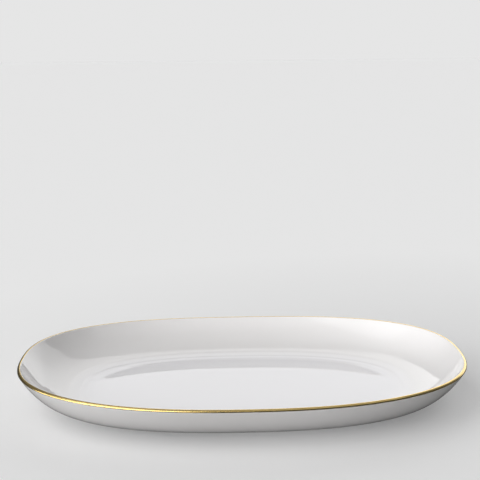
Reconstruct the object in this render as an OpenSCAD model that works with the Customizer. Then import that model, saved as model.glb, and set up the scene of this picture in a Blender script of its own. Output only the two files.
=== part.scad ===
// Oval china serving platter: a coupe shape whose flat well runs into a curved wall,
// with a gilded lip and an unglazed foot ring. Millimetres, +Z up. The origin is the middle
// of the foot, on the surface that the platter stands on, and X runs along its length.

/* [Outline] */
// Length over the gilded lip
platter_length = 360; // [300:5:420]
// Width over the gilded lip
platter_width = 252; // [210:2:300]
// Squareness of the oval, where 2 is a true ellipse
outline_power = 2.48; // [2:0.02:3.2]

/* [Height] */
// Height of the lip in the middle of the long sides
lip_height = 34; // [28:0.5:42]
// How far the lip climbs above that towards the two ends
end_rise = 2.8; // [0:0.1:5]

/* [China body] */
// Thickness of the fired china at the lip
lip_thickness = 2.4; // [1.8:0.1:4]
// Thickness of the fired china in the well
well_thickness = 4.5; // [3:0.1:6]
// Width of the curved wall on the food side, seen from above, on the long sides
food_wall_width = 54.5; // [48:0.5:60]
// Width of the curved wall on the back, down to the foot ring
back_wall_width = 46; // [40:0.5:50]
// How much wider the wall is at the two ends, on the food side
food_end_extra = 2; // [0:0.5:14]
// How much wider the wall is at the two ends, on the back
back_end_extra = 4; // [0:0.5:14]
// Slope of the food side where it meets the lip, in degrees from level
food_lip_tilt = 55; // [48:0.5:60]
// Slope of the back where it meets the lip, in degrees from level
back_lip_tilt = 57.5; // [50:0.5:62]
// Share of the food side's climb that is a gentle shoulder round the well
shoulder_share = 0.26; // [0.1:0.01:0.35]
// Power of the shoulder's curve: near 1 it starts more sharply from the well
shoulder_power = 1.2; // [1.1:0.05:1.5]

/* [Foot ring] */
// Height of the foot ring below the underside of the well
foot_height = 4.2; // [2.5:0.1:6]
// Width of the foot ring's standing face
foot_width = 5; // [3:0.5:8]

/* [Coatings] */
// Thickness of the fired glaze
glaze_thickness = 0.3; // [0.2:0.05:0.5]
// Thickness of the gilding
gilt_thickness = 0.15; // [0.1:0.05:0.3]
// Where the gilding starts on the food side, in degrees round the lip from its widest point
gilt_start = 108; // [100:1:135]
// Where the gilding ends on the back, in degrees past the widest point
gilt_end = 5; // [0:1:25]

/* [Hidden] */

// Corners round the oval, and steps along each stretch of the section
around = 72;
wall_steps = 10;
food_side_steps = 1;
gilt_food_steps = 2;
gilt_back_steps = 4;
back_steps = 2;
food_side = 1;
back_side = -1;
crest = 90;

half_length = platter_length / 2;
half_width = platter_width / 2;
gilt_face = glaze_thickness + gilt_thickness;

lip_radius = lip_thickness / 2 + gilt_face;
lip_centre_z = lip_height - lip_radius;
well_inset = lip_radius + food_wall_width;
foot_inset = lip_radius + back_wall_width;
well_face = foot_height + well_thickness;

// Each face of the bare wall is a curve from the edge of a flat, where its parameter u is 0,
// to the lip's rounding, where u is 1 and the slope is the lip's. The climb is a steep power
// of u, and on the food side it is shared with the gentle shoulder.
function lip_tilt(side) = side == food_side ? food_lip_tilt : back_lip_tilt;
function flat_edge(side) = side == food_side ? [well_inset, well_face] : [foot_inset, foot_height];
function lip_edge(side) =
    [lip_radius, lip_centre_z]
    + side * lip_thickness / 2 * [sin(lip_tilt(side)), cos(lip_tilt(side))];
function reach(side) = flat_edge(side)[0] - lip_edge(side)[0];
function climb(side) = lip_edge(side)[1] - flat_edge(side)[1];
function gentle(side) = side == food_side ? shoulder_share : 0;
function end_extra(side) = side == food_side ? food_end_extra : back_end_extra;
function steep_power(side) =
    (tan(lip_tilt(side)) * reach(side) / climb(side) - gentle(side) * shoulder_power)
    / (1 - gentle(side));
function climbed(side, u) =
    (1 - gentle(side)) * pow(u, steep_power(side)) + gentle(side) * pow(u, shoulder_power);
function climb_rate(side, u) =
    (1 - gentle(side)) * steep_power(side) * pow(u, steep_power(side) - 1)
    + gentle(side) * shoulder_power * pow(u, shoulder_power - 1);
function tilt(side, u) = atan(climb(side) / reach(side) * climb_rate(side, u));

// A point of a section is [inset from the outline, height, share of the rise at the ends,
// extra inset at the ends]. The coat is how far the point lies outside the bare china.
function wall_point(side, u, coat) =
    [flat_edge(side)[0] - reach(side) * u + side * coat * sin(tilt(side, u)),
     flat_edge(side)[1] + climb(side) * climbed(side, u) + side * coat * cos(tilt(side, u)),
     u * u,
     end_extra(side) * pow(1 - u, 2)];
function lip_point(angle, coat) =
    let (radius = lip_thickness / 2 + coat)
    [lip_radius - radius * cos(angle), lip_centre_z + radius * sin(angle), 1, 0];

function reversed(points) = [for (i = [len(points) - 1:-1:0]) points[i]];
function tail(points) = [for (i = [1:len(points) - 1]) points[i]];
function wall_run(side, coat) =
    [for (i = [0:wall_steps - 1]) wall_point(side, i / wall_steps, coat)];
function lip_run(from, to, steps, coat) =
    [for (i = [0:steps]) lip_point(from + (to - from) * i / steps, coat)];

// The lip's rounding takes over from the wall at these angles
lip_from = 90 + food_lip_tilt;
lip_to = back_lip_tilt - 90;
function gilt_run(coat) =
    concat(lip_run(gilt_start, crest, gilt_food_steps, coat),
        tail(lip_run(crest, -gilt_end, gilt_back_steps, coat)));

// The food face runs from the well out to the crest, and the back face from the crest down
function food_face(coat) =
    concat(wall_run(food_side, coat),
        lip_run(lip_from, gilt_start, food_side_steps, coat),
        tail(lip_run(gilt_start, crest, gilt_food_steps, coat)));
function back_face(coat) =
    concat(lip_run(crest, -gilt_end, gilt_back_steps, coat),
        tail(lip_run(-gilt_end, lip_to, back_steps, coat)),
        reversed(wall_run(back_side, coat)));

// The oval at a given inset, which is larger by the extra at the two ends
function signed_power(value, power) = sign(value) * pow(abs(value), power);
function oval_point(inset, extra, angle) =
    [(half_length - inset - extra) * signed_power(cos(angle), 2 / outline_power),
     (half_width - inset) * signed_power(sin(angle), 2 / outline_power)];
function ring_angle(k) = 360 * k / around;
function section_point(point, k) =
    let (place = oval_point(point[0], point[3], ring_angle(k)))
    [place[0], place[1], point[1] + end_rise * point[2] * pow(place[0] / half_length, 2)];

// The faces between two neighbouring rings, as triangles
function band_faces(first, second) =
    [for (k = [0:around - 1], half = [0, 1])
        let (next = (k + 1) % around)
        half == 0
            ? [first * around + k, second * around + next, second * around + k]
            : [first * around + k, first * around + next, second * around + next]];
function ring_points(section) =
    [for (point = section, k = [0:around - 1]) section_point(point, k)];

// A solid whose section runs from the well out round the lip and back under the well
module capped_loft(section) {
    rings = len(section);
    polyhedron(
        points = ring_points(section),
        faces = concat(
            [for (i = [0:rings - 2]) each band_faces(i, i + 1)],
            [[for (k = [around - 1:-1:0]) k]],
            [[for (k = [0:around - 1]) (rings - 1) * around + k]]));
}

// A solid whose section is a closed loop, with a hole through the middle
module looped_loft(section) {
    rings = len(section);
    polyhedron(
        points = ring_points(section),
        faces = [for (i = [0:rings - 1]) each band_faces(i, (i + 1) % rings)]);
}

module foot_oval(inset) {
    polygon([for (k = [0:around - 1]) oval_point(inset, back_end_extra, ring_angle(k))]);
}

// The fired china shell, from the face of the well round the lip to the flat underside
module china_body() {
    color([0.93, 0.925, 0.91])
        capped_loft(concat(food_face(0), tail(back_face(0))));
}

// The ring that the platter stands on, left bare of glaze
module foot_ring() {
    color([0.86, 0.84, 0.8])
        linear_extrude(foot_height)
            difference() {
                foot_oval(foot_inset);
                foot_oval(foot_inset + foot_width);
            }
}

// The glaze on the food side, from the well to the crest of the lip
module well_glaze() {
    color([0.97, 0.97, 0.965])
        capped_loft(concat(food_face(glaze_thickness), reversed(food_face(0))));
}

// The glaze on the back, from the crest of the lip down to the foot ring
module back_glaze() {
    color([0.95, 0.95, 0.945])
        looped_loft(concat(back_face(glaze_thickness), reversed(back_face(0))));
}

// The glaze on the underside, inside the foot ring
module base_glaze() {
    color([0.94, 0.94, 0.93])
        translate([0, 0, foot_height - glaze_thickness])
            linear_extrude(glaze_thickness)
                foot_oval(foot_inset + foot_width);
}

// The band of gold fired on top of the glaze, over the crest of the lip
module gilt_band() {
    color([0.83, 0.68, 0.3])
        looped_loft(concat(gilt_run(gilt_face), reversed(gilt_run(glaze_thickness))));
}

china_body();
foot_ring();
well_glaze();
back_glaze();
base_glaze();
gilt_band();
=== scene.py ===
"""Looks of the oval china serving platter: fine porcelain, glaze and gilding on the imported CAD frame."""
import math

import bpy
import numpy as np
from mathutils import Matrix, Quaternion, Vector


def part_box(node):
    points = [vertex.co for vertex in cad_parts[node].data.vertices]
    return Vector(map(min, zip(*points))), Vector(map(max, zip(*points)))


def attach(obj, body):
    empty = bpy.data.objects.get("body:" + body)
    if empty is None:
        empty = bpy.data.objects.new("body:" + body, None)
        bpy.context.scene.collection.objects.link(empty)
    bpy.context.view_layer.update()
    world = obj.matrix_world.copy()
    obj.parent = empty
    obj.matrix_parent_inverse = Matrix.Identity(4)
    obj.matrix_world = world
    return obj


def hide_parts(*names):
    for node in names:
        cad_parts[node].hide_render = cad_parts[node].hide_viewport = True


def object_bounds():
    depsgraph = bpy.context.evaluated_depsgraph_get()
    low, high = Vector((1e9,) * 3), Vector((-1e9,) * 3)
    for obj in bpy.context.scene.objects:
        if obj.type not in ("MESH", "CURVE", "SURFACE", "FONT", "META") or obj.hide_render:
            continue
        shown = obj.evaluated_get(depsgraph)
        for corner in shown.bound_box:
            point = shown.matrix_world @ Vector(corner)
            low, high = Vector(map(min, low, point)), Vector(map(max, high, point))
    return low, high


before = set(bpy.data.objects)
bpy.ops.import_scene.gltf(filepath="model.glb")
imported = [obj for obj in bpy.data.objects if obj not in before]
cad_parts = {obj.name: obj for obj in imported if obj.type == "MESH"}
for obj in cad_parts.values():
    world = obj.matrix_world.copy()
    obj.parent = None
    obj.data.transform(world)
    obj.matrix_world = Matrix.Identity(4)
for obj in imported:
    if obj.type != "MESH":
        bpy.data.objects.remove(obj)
cad_box = [list(corner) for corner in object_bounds()]

MM = 0.001

# ---------------------------------------------------------------- sizes, from the frame
cad_high = Vector(cad_box[1])
HALF_LENGTH = cad_high.x
HALF_WIDTH = cad_high.y
foot_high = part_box("foot_ring")[1]
FOOT_HEIGHT = foot_high.z
FOOT_INSET = HALF_WIDTH - foot_high.y
BACK_END_EXTRA = HALF_LENGTH - foot_high.x - FOOT_INSET
base_low, base_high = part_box("base_glaze")
FOOT_WIDTH = foot_high.y - base_high.y
GLAZE = base_high.z - base_low.z

# The driving sizes of the section, as in the CAD
OUTLINE_POWER = 2.48
LIP_HEIGHT = 34 * MM
END_RISE = 2.8 * MM
LIP_THICKNESS = 2.4 * MM
WELL_THICKNESS = 4.5 * MM
FOOD_WALL_WIDTH = 54.5 * MM
FOOD_END_EXTRA = 2 * MM
FOOD_LIP_TILT = math.radians(55)
BACK_LIP_TILT = math.radians(57.5)
SHOULDER_SHARE = 0.26
SHOULDER_POWER = 1.2
GILT = 0.15 * MM
GILT_START = 108.0
GILT_END = -5.0

LIP_RADIUS = LIP_THICKNESS / 2 + GLAZE + GILT
LIP_CENTRE_Z = LIP_HEIGHT - LIP_RADIUS
WELL_INSET = LIP_RADIUS + FOOD_WALL_WIDTH
WELL_FACE = FOOT_HEIGHT + WELL_THICKNESS

# How finely the smooth meshes are divided
AROUND = 320
FACE_STEPS = 140
HIDDEN_STEPS = 40
LIP_STEPS = 20
WELL_STEPS = 26
CORNER_STEPS = 8
FINE_ANGLES = 4001
# Faces that meet at more than this show an edge
SHARP_ANGLE = math.radians(50)

# Faint rings in the shoulder, which is a guess: inset, width and how far the slope dips
RIPPLES = [
    (53 * MM, 2.2 * MM, math.radians(0.9)),
    (47 * MM, 1.5 * MM, math.radians(3.5)),
    (38.3 * MM, 2.4 * MM, math.radians(3.4)),
]


# ---------------------------------------------------------------- the section
class Face:
    """One face of the bare wall, from the edge of a flat (u = 0) to the lip's rounding (u = 1)."""

    def __init__(self, side, flat_inset, flat_height, end_extra, lip_tilt, gentle):
        lip_inset = LIP_RADIUS + side * LIP_THICKNESS / 2 * math.sin(lip_tilt)
        lip_height = LIP_CENTRE_Z + side * LIP_THICKNESS / 2 * math.cos(lip_tilt)
        self.side = side
        self.inset = flat_inset
        self.height = flat_height
        self.reach = flat_inset - lip_inset
        self.climb = lip_height - flat_height
        self.end_extra = end_extra
        self.gentle = gentle
        lip_rate = math.tan(lip_tilt) * self.reach / self.climb
        self.power = (lip_rate - gentle * SHOULDER_POWER) / (1 - gentle)

    def point(self, u, coat):
        """(inset, height, share of the end rise, extra end inset, scale) at u, a coat's thickness out."""
        height = (1 - self.gentle) * u**self.power + self.gentle * u**SHOULDER_POWER
        rate = ((1 - self.gentle) * self.power * u ** (self.power - 1)
                + self.gentle * SHOULDER_POWER * u ** (SHOULDER_POWER - 1))
        tilt = math.atan(self.climb / self.reach * rate)
        inset = self.inset - self.reach * u + self.side * coat * math.sin(tilt)
        z = self.height + self.climb * height + self.side * coat * math.cos(tilt)
        return (inset, z, u * u, self.end_extra * (1 - u) ** 2, 1.0)

    def run(self, coat, steps):
        return [self.point(i / steps, coat) for i in range(steps)]


FOOD = Face(1, WELL_INSET, WELL_FACE, FOOD_END_EXTRA, FOOD_LIP_TILT, SHOULDER_SHARE)
BACK = Face(-1, FOOT_INSET, FOOT_HEIGHT, BACK_END_EXTRA, BACK_LIP_TILT, 0.0)


def rippled(run):
    """The run with the shoulder's faint rings added to its heights."""
    out = []
    for inset, height, *rest in run:
        for centre, width, dip in RIPPLES:
            x = (inset - centre) / width
            height += dip * width * x * math.exp(-x * x / 2)
        out.append((inset, height, *rest))
    return out


def lip_run(start, end, coat, steps=LIP_STEPS):
    """Points round the lip; the angle runs from the widest point (0) over the crest (90)."""
    reach = LIP_THICKNESS / 2 + coat
    angles = [math.radians(start + (end - start) * i / steps) for i in range(steps + 1)]
    return [(LIP_RADIUS - reach * math.cos(a), LIP_CENTRE_Z + reach * math.sin(a), 1.0, 0.0, 1.0)
            for a in angles]


LIP_FROM = 90 + math.degrees(FOOD_LIP_TILT)
LIP_TO = math.degrees(BACK_LIP_TILT) - 90


def flat_run(height, inset, end_extra, steps=WELL_STEPS):
    """Rings from just off the centre out to the inset, on a level face."""
    return [(inset, height, 0.0, end_extra, (i + 1) / (steps + 1)) for i in range(steps)]


# ---------------------------------------------------------------- the oval
def signed_power(value, power):
    return np.sign(value) * np.abs(value) ** power


def even_angles(count):
    """Angles that step evenly along the oval's edge, the same in each quarter."""
    fine = np.linspace(0, math.pi / 2, FINE_ANGLES)
    x = HALF_LENGTH * np.cos(fine) ** (2 / OUTLINE_POWER)
    y = HALF_WIDTH * np.sin(fine) ** (2 / OUTLINE_POWER)
    run = np.concatenate([[0], np.cumsum(np.hypot(np.diff(x), np.diff(y)))])
    quarter = np.interp(np.linspace(0, run[-1], count // 4 + 1)[:-1], run, fine)
    return np.concatenate([quarter, math.pi - np.append(quarter[1:], math.pi / 2)[::-1], math.pi + quarter,
                           2 * math.pi - np.append(quarter[1:], math.pi / 2)[::-1]])


ANGLES = even_angles(AROUND)


def ring(point):
    """The vertices of one ring of a section point, as an array."""
    inset, height, rise, end_extra, scale = point
    x = (HALF_LENGTH - inset - end_extra) * signed_power(np.cos(ANGLES), 2 / OUTLINE_POWER) * scale
    y = (HALF_WIDTH - inset) * signed_power(np.sin(ANGLES), 2 / OUTLINE_POWER) * scale
    z = height + END_RISE * rise * (x / HALF_LENGTH) ** 2
    return np.column_stack([x, y, z])


def loft(name, section, material, closed=False):
    """A solid from rings. A closed section is a loop; an open one ends in a centre point at both ends."""
    rings = [ring(p) for p in section]
    count = len(rings)
    verts = np.concatenate(rings)
    faces = []
    for i in range(count if closed else count - 1):
        a, b = i * AROUND, (i + 1) % count * AROUND
        for k in range(AROUND):
            n = (k + 1) % AROUND
            faces.append((a + k, b + k, b + n, a + n))
    if not closed:
        top, bottom = len(verts), len(verts) + 1
        verts = np.vstack([verts, [0, 0, section[0][1]], [0, 0, section[-1][1]]])
        last = (count - 1) * AROUND
        for k in range(AROUND):
            n = (k + 1) % AROUND
            faces.append((top, k, n))
            faces.append((bottom, last + n, last + k))
    mesh = bpy.data.meshes.new(name)
    mesh.from_pydata(verts.tolist(), [], faces)
    mesh.validate()
    mesh.shade_smooth()
    mesh.set_sharp_from_angle(angle=SHARP_ANGLE)
    obj = bpy.data.objects.new(name, mesh)
    bpy.context.scene.collection.objects.link(obj)
    mesh.materials.append(material)
    return obj


# ---------------------------------------------------------------- materials
def new_material(name):
    mat = bpy.data.materials.new(name)
    mat.use_nodes = True
    tree = mat.node_tree
    shader = tree.nodes["Principled BSDF"]
    coords = tree.nodes.new("ShaderNodeTexCoord")
    return mat, tree, shader, coords.outputs["Object"]


def noise(tree, vector, scale, detail=3.0, rough=0.5):
    node = tree.nodes.new("ShaderNodeTexNoise")
    node.inputs["Scale"].default_value = scale
    node.inputs["Detail"].default_value = detail
    node.inputs["Roughness"].default_value = rough
    tree.links.new(vector, node.inputs["Vector"])
    return node.outputs["Fac"]


def ramp(tree, value, stops):
    node = tree.nodes.new("ShaderNodeValToRGB")
    tree.links.new(value, node.inputs["Fac"])
    for i, (place, colour) in enumerate(stops):
        stop = node.color_ramp.elements[i] if i < 2 else node.color_ramp.elements.new(place)
        stop.position = place
        stop.color = (*colour, 1)
    return node.outputs["Color"]


def spread(tree, value, low, high, start=0.3, end=0.7):
    node = tree.nodes.new("ShaderNodeMapRange")
    node.inputs["From Min"].default_value = start
    node.inputs["From Max"].default_value = end
    node.inputs["To Min"].default_value = low
    node.inputs["To Max"].default_value = high
    tree.links.new(value, node.inputs["Value"])
    return node.outputs["Result"]


def height_of(tree, where):
    """Height above the table, in metres."""
    node = tree.nodes.new("ShaderNodeSeparateXYZ")
    tree.links.new(where, node.inputs[0])
    return node.outputs["Z"]


def blend(tree, factor, first, second, kind="MIX"):
    node = tree.nodes.new("ShaderNodeMix")
    node.data_type = "RGBA"
    node.blend_type = kind
    for socket, value in (("Factor", factor), ("A", first), ("B", second)):
        target = next(s for s in node.inputs
                      if s.name == socket and s.type in ("RGBA", "VALUE") and s.enabled)
        if isinstance(value, tuple):
            target.default_value = (*value, 1)
        elif isinstance(value, float):
            target.default_value = value
        else:
            tree.links.new(value, target)
    return next(s for s in node.outputs if s.type == "RGBA" and s.enabled)


def bump(tree, shader, layers):
    """Relief on the shader; each layer is a pattern from 0 to 1 and its depth in metres."""
    normal = None
    for pattern, depth in layers:
        node = tree.nodes.new("ShaderNodeBump")
        node.inputs["Strength"].default_value = 1.0
        node.inputs["Distance"].default_value = depth
        tree.links.new(pattern, node.inputs["Height"])
        if normal:
            tree.links.new(normal, node.inputs["Normal"])
        normal = node.outputs["Normal"]
    tree.links.new(normal, shader.inputs["Normal"])


def toned(colour, factors):
    return tuple(part * factor for part, factor in zip(colour, factors))


GLAZE_IOR = 1.52
GLAZE_ROUGHNESS = (0.008, 0.02)
GLAZE_THIN_TONE = (0.985, 0.985, 0.985)
POOLED_TINT = (0.988, 0.996, 1.03)
GLAZE_WAVES = 0.02 * MM
GLAZE_PITTING = 0.0006 * MM


def glaze_material(name, colour, pool_low, pool_high):
    """Clear gloss over white china: it pools a little, and a trace cooler, where a wall ends."""
    mat, tree, shader, where = new_material(name)
    thin = toned(colour, GLAZE_THIN_TONE)
    tone = ramp(tree, noise(tree, where, 9, 2), [(0.3, thin), (0.7, colour)])
    depth = noise(tree, where, 30, 2)
    pooled = spread(tree, height_of(tree, where), 1.0, 0.0, pool_low, pool_high)
    cooler = blend(tree, pooled, (1.0, 1.0, 1.0), POOLED_TINT)
    shade = blend(tree, 1.0, tone, cooler, "MULTIPLY")
    tree.links.new(shade, shader.inputs["Base Color"])
    tree.links.new(spread(tree, depth, *GLAZE_ROUGHNESS), shader.inputs["Roughness"])
    shader.inputs["IOR"].default_value = GLAZE_IOR
    waves = noise(tree, where, 14, 1)
    pitting = noise(tree, where, 420, 2)
    bump(tree, shader, [(waves, GLAZE_WAVES), (pitting, GLAZE_PITTING)])
    return mat


BISQUE_DARK_GRAIN = (0.9, 0.89, 0.87)
SCUFF_DARK = (0.72, 0.71, 0.69)
SCUFF_LIGHT = (0.95, 0.94, 0.92)
SCUFF_FROM = 0.1 * MM
SCUFF_TO = 0.8 * MM
BISQUE_ROUGHNESS = (0.7, 0.9)
BISQUE_GRAIN = 0.05 * MM


def bisque_material(name, colour):
    """Unglazed fired china, a little greyed on the face that it stands on."""
    mat, tree, shader, where = new_material(name)
    grain = noise(tree, where, 900, 6, 0.7)
    fired = ramp(tree, grain, [(0.3, toned(colour, BISQUE_DARK_GRAIN)), (0.7, colour)])
    worn = spread(tree, height_of(tree, where), 1.0, 0.0, SCUFF_FROM, SCUFF_TO)
    scuffed = ramp(tree, noise(tree, where, 120, 5, 0.7),
                   [(0.35, toned(colour, SCUFF_DARK)), (0.65, toned(colour, SCUFF_LIGHT))])
    tree.links.new(blend(tree, worn, fired, scuffed), shader.inputs["Base Color"])
    tree.links.new(spread(tree, noise(tree, where, 300), *BISQUE_ROUGHNESS), shader.inputs["Roughness"])
    bump(tree, shader, [(grain, BISQUE_GRAIN)])
    return mat


GOLD_THIN = (0.68, 0.5, 0.19)
GOLD_FULL = (0.8, 0.61, 0.26)
GOLD_STREAK = (0.93, 0.93, 0.93)
GOLD_ROUGHNESS = (0.16, 0.24)
GOLD_RELIEF = 0.004 * MM


def gold_material(name):
    """Bright gold, fired on and burnished: fine streaks, and thinner in places."""
    mat, tree, shader, where = new_material(name)
    thin = ramp(tree, noise(tree, where, 60, 3), [(0.3, GOLD_THIN), (0.7, GOLD_FULL)])
    streaks = noise(tree, where, 700, 3)
    fine = ramp(tree, streaks, [(0.3, GOLD_STREAK), (0.7, (1.0, 1.0, 1.0))])
    tree.links.new(blend(tree, 1.0, thin, fine, "MULTIPLY"), shader.inputs["Base Color"])
    shader.inputs["Metallic"].default_value = 1.0
    tree.links.new(spread(tree, noise(tree, where, 200), *GOLD_ROUGHNESS), shader.inputs["Roughness"])
    bump(tree, shader, [(streaks, GOLD_RELIEF)])
    return mat


GLAZE_WHITE = (0.876, 0.861, 0.855)
BISQUE_WHITE = (0.74, 0.71, 0.66)
# How far up a wall the glaze that has pooled at its foot reaches
FOOD_POOL = 3 * MM
BACK_POOL = 2 * MM
food_glaze = glaze_material("food_side_glaze", GLAZE_WHITE, WELL_FACE, WELL_FACE + FOOD_POOL)
outer_glaze = glaze_material("outer_glaze", GLAZE_WHITE, FOOT_HEIGHT, FOOT_HEIGHT + BACK_POOL)
base_glaze = glaze_material("underside_glaze", GLAZE_WHITE, FOOT_HEIGHT, FOOT_HEIGHT + BACK_POOL)
bisque = bisque_material("unglazed_china", BISQUE_WHITE)
gold = gold_material("bright_gold")


# ---------------------------------------------------------------- pieces
def food_face(coat, steps=HIDDEN_STEPS):
    wall = rippled(FOOD.run(coat, steps))
    return flat_run(WELL_FACE + coat, WELL_INSET, FOOD_END_EXTRA) + wall + lip_run(LIP_FROM, 90, coat)


def back_face(coat, steps=HIDDEN_STEPS):
    return lip_run(90, LIP_TO, coat)[1:] + BACK.run(coat, steps)[::-1]


def add(obj, node):
    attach(obj, "root")
    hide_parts(node)
    return obj


underside = flat_run(FOOT_HEIGHT, FOOT_INSET, BACK_END_EXTRA)[::-1]
add(loft("platter_body", food_face(0) + back_face(0) + underside, bisque), "china_body")
add(loft("food_side_glaze", food_face(GLAZE, FACE_STEPS) + food_face(0)[::-1], food_glaze),
    "well_glaze")
crest_top = lip_run(90, 90, GLAZE, 1)[:1]
crest_bottom = lip_run(90, 90, 0, 1)[:1]
add(loft("outer_glaze", crest_top + back_face(GLAZE, FACE_STEPS) + back_face(0)[::-1] + crest_bottom,
         outer_glaze, closed=True), "back_glaze")
inner_foot = FOOT_INSET + FOOT_WIDTH


def base_run(height):
    """The underside inside the foot ring, from the centre out to the ring."""
    return flat_run(height, inner_foot, BACK_END_EXTRA) + [(inner_foot, height, 0.0, BACK_END_EXTRA, 1.0)]


add(loft("underside_glaze", base_run(FOOT_HEIGHT) + base_run(FOOT_HEIGHT - GLAZE)[::-1], base_glaze),
    "base_glaze")
gilt_outside = lip_run(GILT_START, GILT_END, GLAZE + GILT)
gilt_inside = lip_run(GILT_END, GILT_START, GLAZE)
add(loft("gold_line", gilt_outside + gilt_inside, gold, closed=True), "gilt_band")

FOOT_ROUND = 1.2 * MM


def foot_section():
    """The foot ring's section: upright sides and rounded standing edges."""
    quarter = [math.radians(90 * i / CORNER_STEPS) for i in range(CORNER_STEPS + 1)]
    corner = [(FOOT_ROUND * (1 - math.cos(a)), FOOT_ROUND * (1 - math.sin(a))) for a in quarter]
    outside = [(FOOT_INSET, FOOT_HEIGHT)] + [(FOOT_INSET + d, z) for d, z in corner]
    inside = [(inner_foot - d, z) for d, z in corner[::-1]] + [(inner_foot, FOOT_HEIGHT)]
    return [(inset, z, 0.0, BACK_END_EXTRA, 1.0) for inset, z in outside + inside]


add(loft("standing_ring", foot_section(), bisque, closed=True), "foot_ring")

# ---------------------------------------------------------------- studio
FLOOR_REACH = 30.0
FLOOR_WHITE = 0.75
FLOOR_BOUNCE = 0.5
FLOOR_MIRRORED = 0.15
# The floor isn't physical: the camera sees it glow, so that the shadow stays pale. The glow is painted
# light. It glows least beside the platter, on the side away from the light, which is a painted shadow,
# and a little more right below it, which is painted light in the contact shadow. Each of the two has
# its centre and its reach along X and Y. The lift fades between two shares of its reach.
SHADE_CENTRE = (0.2, -0.02, 0.0)
SHADE_REACH = (0.6, 0.6, 1.0)
SHADE_GLOW = 0.12
OPEN_GLOW = 0.235
LIFT_CENTRE = (0.04, 0.0, 0.0)
LIFT_REACH = (0.18, 0.126, 1.0)
LIFT_GLOW = 0.09
LIFT_WHOLE = 0.55
LIFT_GONE = 0.85

floor_mesh = bpy.data.meshes.new("floor")
floor_corners = [(x * FLOOR_REACH, y * FLOOR_REACH, 0) for x, y in ((-1, -1), (1, -1), (1, 1), (-1, 1))]
floor_mesh.from_pydata(floor_corners, [], [(0, 1, 2, 3)])
floor = bpy.data.objects.new("floor", floor_mesh)
bpy.context.scene.collection.objects.link(floor)


def floor_material():
    """A pale sweep that softens its own shadows, throws back little light and brightens with distance."""
    mat = bpy.data.materials.new("pale_floor")
    mat.use_nodes = True
    tree = mat.node_tree
    tree.nodes.clear()

    def diffuse(white):
        node = tree.nodes.new("ShaderNodeBsdfDiffuse")
        node.inputs["Color"].default_value = (white, white, white, 1)
        return node.outputs[0]

    def mix(factor, first, second):
        node = tree.nodes.new("ShaderNodeMixShader")
        for socket, value in zip(node.inputs, (factor, first, second)):
            tree.links.new(value, socket)
        return node.outputs[0]

    def away(centre, reach):
        """Distance from a centre, where 1 is the reach."""
        where = tree.nodes.new("ShaderNodeTexCoord").outputs["Object"]
        for operation, by in (("SUBTRACT", centre), ("DIVIDE", reach)):
            node = tree.nodes.new("ShaderNodeVectorMath")
            node.operation = operation
            node.inputs[1].default_value = by
            tree.links.new(where, node.inputs[0])
            where = node.outputs["Vector"]
        length = tree.nodes.new("ShaderNodeVectorMath")
        length.operation = "LENGTH"
        tree.links.new(where, length.inputs[0])
        return length.outputs["Value"]

    # Painted light: the camera sees the floor glow, with a painted shadow beside the platter and painted
    # light right below it
    glow = tree.nodes.new("ShaderNodeEmission")
    glow.inputs["Color"].default_value = (1, 1, 1, 1)
    strength = tree.nodes.new("ShaderNodeMath")
    shade = spread(tree, away(SHADE_CENTRE, SHADE_REACH), SHADE_GLOW, OPEN_GLOW, 0.0, 1.0)
    lift = spread(tree, away(LIFT_CENTRE, LIFT_REACH), LIFT_GLOW, 0.0, LIFT_WHOLE, LIFT_GONE)
    tree.links.new(shade, strength.inputs[0])
    tree.links.new(lift, strength.inputs[1])
    tree.links.new(strength.outputs[0], glow.inputs["Strength"])
    both = tree.nodes.new("ShaderNodeAddShader")
    tree.links.new(glow.outputs[0], both.inputs[0])
    tree.links.new(diffuse(FLOOR_WHITE), both.inputs[1])
    path = tree.nodes.new("ShaderNodeLightPath").outputs
    thrown_back = mix(path["Is Glossy Ray"], diffuse(FLOOR_BOUNCE), diffuse(FLOOR_MIRRORED))
    output = tree.nodes.new("ShaderNodeOutputMaterial")
    tree.links.new(mix(path["Is Camera Ray"], thrown_back, both.outputs[0]), output.inputs["Surface"])
    return mat


floor_mesh.materials.append(floor_material())

world = bpy.data.worlds.new("studio")
bpy.context.scene.world = world
world.use_nodes = True
sky = world.node_tree
sky.nodes.clear()
look = sky.nodes.new("ShaderNodeTexCoord").outputs["Generated"]


def feed(socket, value):
    if isinstance(value, (int, float, Vector)):
        socket.default_value = value
    else:
        sky.links.new(value, socket)


def sky_math(operation, a, b=0.0, clamp=False):
    node = sky.nodes.new("ShaderNodeMath")
    node.operation = operation
    node.use_clamp = clamp
    feed(node.inputs[0], a)
    feed(node.inputs[1], b)
    return node.outputs[0]


def along(axis):
    """How far the direction that is looked in points along an axis."""
    node = sky.nodes.new("ShaderNodeVectorMath")
    node.operation = "DOT_PRODUCT"
    feed(node.inputs[0], look)
    feed(node.inputs[1], axis)
    return node.outputs["Value"]


def direction(azimuth, elevation):
    """Unit vector; azimuth 0 is behind the platter (+Y), 90 to its right (+X)."""
    a, e = math.radians(azimuth), math.radians(elevation)
    return Vector((math.sin(a) * math.cos(e), math.cos(a) * math.cos(e), math.sin(e)))


# Keeps directions behind a panel from dividing by zero
LEAST_AHEAD = 0.001


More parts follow.
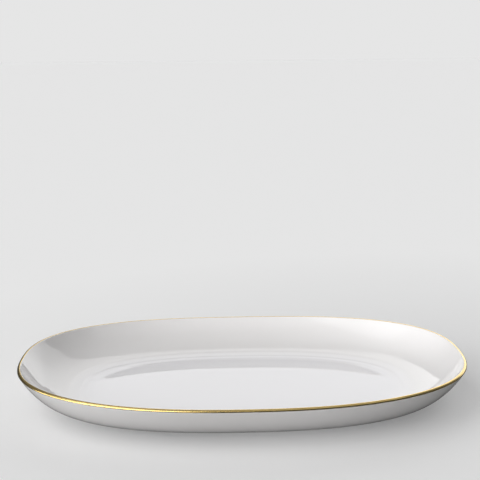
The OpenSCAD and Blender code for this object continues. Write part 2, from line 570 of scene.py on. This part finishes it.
def panel(azimuth, elevation, left, right, bottom, top, edge, strength):
    """A flat rectangular softbox far away, square to the direction given. Its four sides and its
    soft edge are in degrees from that direction."""
    centre = direction(azimuth, elevation)
    across = direction(azimuth + 90, 0)
    upward = across.cross(centre)
    ahead = sky_math("MAXIMUM", along(centre), LEAST_AHEAD)
    soft = 2 * math.tan(math.radians(edge))
    light = strength
    for axis, low, high in ((across, left, right), (upward, bottom, top)):
        low, high = math.tan(math.radians(low)), math.tan(math.radians(high))
        off = sky_math("SUBTRACT", sky_math("DIVIDE", along(axis), ahead), (low + high) / 2)
        inside = sky_math("SUBTRACT", (high - low) / 2 + soft / 2, sky_math("ABSOLUTE", off))
        light = sky_math("MULTIPLY", sky_math("DIVIDE", inside, soft, clamp=True), light)
    return light


def build_sky(panels, ambient, backdrop):
    light = ambient
    for place_size_and_strength in panels:
        light = sky_math("ADD", panel(*place_size_and_strength), light)
    path = sky.nodes.new("ShaderNodeLightPath")
    mix = sky.nodes.new("ShaderNodeMix")
    mix.data_type = "FLOAT"
    feed(mix.inputs["Factor"], path.outputs["Is Camera Ray"])
    feed(mix.inputs["A"], light)
    mix.inputs["B"].default_value = backdrop
    background = sky.nodes.new("ShaderNodeBackground")
    background.inputs["Color"].default_value = (1, 1, 1, 1)
    feed(background.inputs["Strength"], mix.outputs[0])
    output = sky.nodes.new("ShaderNodeOutputWorld")
    sky.links.new(background.outputs[0], output.inputs["Surface"])


BACKDROP = 0.79
AMBIENT = 0.2
# A negative strength is a dark card, which takes away some of the ambient light
PANELS = [
    # azimuth, elevation, left, right, bottom, top, edge, strength
    (0, 0, -7, 8, 12, 47, 0.2, 1.34),         # softbox behind, its left part
    (0, 0, 8, 49, 9.5, 47, 0.2, 1.34),        # softbox behind, which the well mirrors
    (0, 0, 8, 57, 0.5, 9.5, 0.2, 1.25),       # its low part
    (0, 0, 49, 57, 9.5, 26, 0.2, 1.0),        # its right part
    (0, 0, 14, 46, 0.5, 18, 6, 0.3),          # brighter middle of the low part
    (0, 62, -35, 40, -14, 24, 3, 0.2),        # ceiling above the softbox
    (150, 62, -30, 34, -12, 14, 0.5, 0.55),   # ceiling in front
    (255, 40, -30, 21, 5, 30, 0.2, 1.2),      # sharp-edged softbox, left
    (255, 40, -30, 21, -28, 5, 0.5, 0.6),     # its lower part, weaker
    (258, 5, -24, 24, -6, 5, 2, 6.0),         # low light, left
    (222, 5, -24, 24, -5, 6, 2, 3.8),         # main light, front left, lower part
    (215, 24, -25, 25, -9, 9, 2, 4.0),        # main light, front left, upper part
    (135, 8, -50, 50, -8, 17, 6, -0.17),      # dark card, front right
    (315, 6, -25, 25, -6, 12, 4, -0.17),      # dark card, back left
]
build_sky(PANELS, AMBIENT, BACKDROP)
bpy.context.scene.view_settings.view_transform = "Standard"

# ---------------------------------------------------------------- camera
SENSOR_WIDTH = 36
LENS = 75
CLIP_END = 100
TURN = 0.03
PITCH = 0.1864
ROLL = -0.00963
# Where the camera stands before it is turned round the platter
UNTURNED_PLACE = (-0.00076, -0.78893, 0.27985)

camera = bpy.data.objects.new("camera", bpy.data.cameras.new("camera"))
bpy.context.scene.collection.objects.link(camera)
camera.data.sensor_width = SENSOR_WIDTH
camera.data.lens = LENS
camera.data.clip_end = CLIP_END
camera.location = Matrix.Rotation(-TURN, 3, "Z") @ Vector(UNTURNED_PLACE)
camera.rotation_mode = "QUATERNION"
aim = Vector((math.sin(TURN) * math.cos(PITCH), math.cos(TURN) * math.cos(PITCH), -math.sin(PITCH)))
camera.rotation_quaternion = aim.to_track_quat("-Z", "Y") @ Quaternion((0, 0, 1), ROLL)
bpy.context.scene.camera = camera
